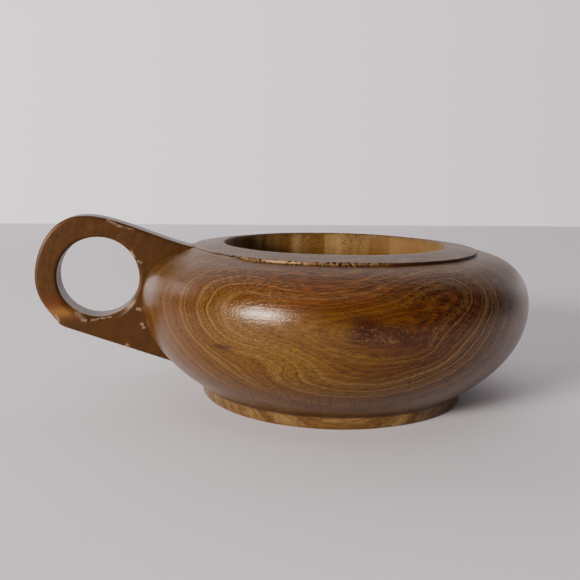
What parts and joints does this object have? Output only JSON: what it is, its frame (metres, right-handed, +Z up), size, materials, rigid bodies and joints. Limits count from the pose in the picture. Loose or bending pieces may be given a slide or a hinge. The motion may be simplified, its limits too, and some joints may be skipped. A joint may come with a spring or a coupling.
{
  "type": "wooden cup",
  "caption": "Low turned wooden drinking cup with a bulbous body, a turned foot ring, a flat stepped rim and a flat board handle with a round finger hole.",
  "frame": {"origin": "centre of the foot's flat underside, on the bowl's turning axis", "axes": "+Z up along the turning axis, the handle points along -X and its board lies in the XZ plane, +Y is the finger hole's axis"},
  "size_m": [0.1444, 0.115, 0.053],
  "materials": {
    "bowl_wood": "turned hardwood, satin varnish, golden brown with dark red-brown figure",
    "handle_wood": "sawn and sanded hardwood board, satin varnish, darker brown, edges worn",
    "dowel_wood": "plain unvarnished hardwood dowel"
  },
  "bodies": {
    "root": {"bowl_body": "bowl_wood", "handle": "handle_wood", "dowel_lower": "dowel_wood", "dowel_upper": "dowel_wood"}
  },
  "joints": []
}
